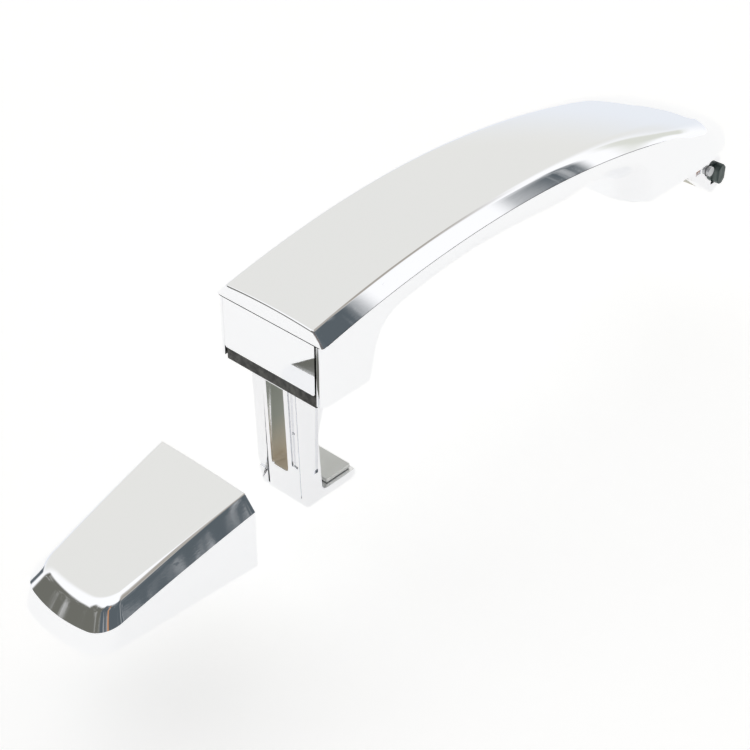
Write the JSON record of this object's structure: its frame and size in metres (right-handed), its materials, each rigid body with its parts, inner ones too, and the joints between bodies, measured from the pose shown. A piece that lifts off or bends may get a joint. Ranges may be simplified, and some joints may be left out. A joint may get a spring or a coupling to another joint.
{
  "type": "car door handle",
  "caption": "Chromed pull handle for a car door with latch leg, pivot arm and a separate blank end cap lying beside it.",
  "frame": {"origin": "point on the door skin under the middle of the handle's flat rear end", "axes": "+X along the handle from its rear end to its pivot end, +Y across it, +Z outward from the door skin"},
  "size_m": [0.2666, 0.037, 0.0698],
  "materials": {
    "chrome_plate": "mirror-bright decorative chrome",
    "chrome_casting": "bright chrome over an unpolished casting",
    "steel": "zinc-plated steel",
    "brass": "turned brass",
    "seal_rubber": "matt dark grey rubber",
    "bumper_rubber": "dark green-black rubber",
    "white_plastic": "natural white slide plastic",
    "black_plastic": "black moulded plastic"
  },
  "bodies": {
    "door_pads": {"rear_seal": "seal_rubber", "front_seal": "seal_rubber"},
    "pull_handle": {"outer_cover": "chrome_plate", "grip_backing": "chrome_plate", "grip_stiffener": "steel", "latch_leg": "chrome_casting", "hook_liner": "white_plastic", "pivot_arm": "chrome_casting", "pivot_pin": "steel", "pivot_bumper": "bumper_rubber", "cover_screw_rear_left": "steel", "cover_screw_rear_right": "steel", "cover_screw_front": "steel", "arm_screw": "steel"},
    "end_cap": {"cap_shell": "chrome_plate", "cap_carrier": "black_plastic", "cap_insert": "brass", "cap_screw": "steel", "cap_gasket": "seal_rubber", "cap_clip_left": "steel", "cap_clip_right": "steel"}
  },
  "joints": [
    {"name": "pull_pivot", "type": "hinge", "parent": "door_pads", "child": "pull_handle", "pos_m": [0.1884, 0, -0.014], "axis": [0, 1, 0], "range_deg": [0, 8.5]},
    {"name": "cap_seat", "type": "slide", "parent": "door_pads", "child": "end_cap", "axis": [0.5183, -0.0242, 0.8549], "range_m": [0, 0.04129]}
  ]
}
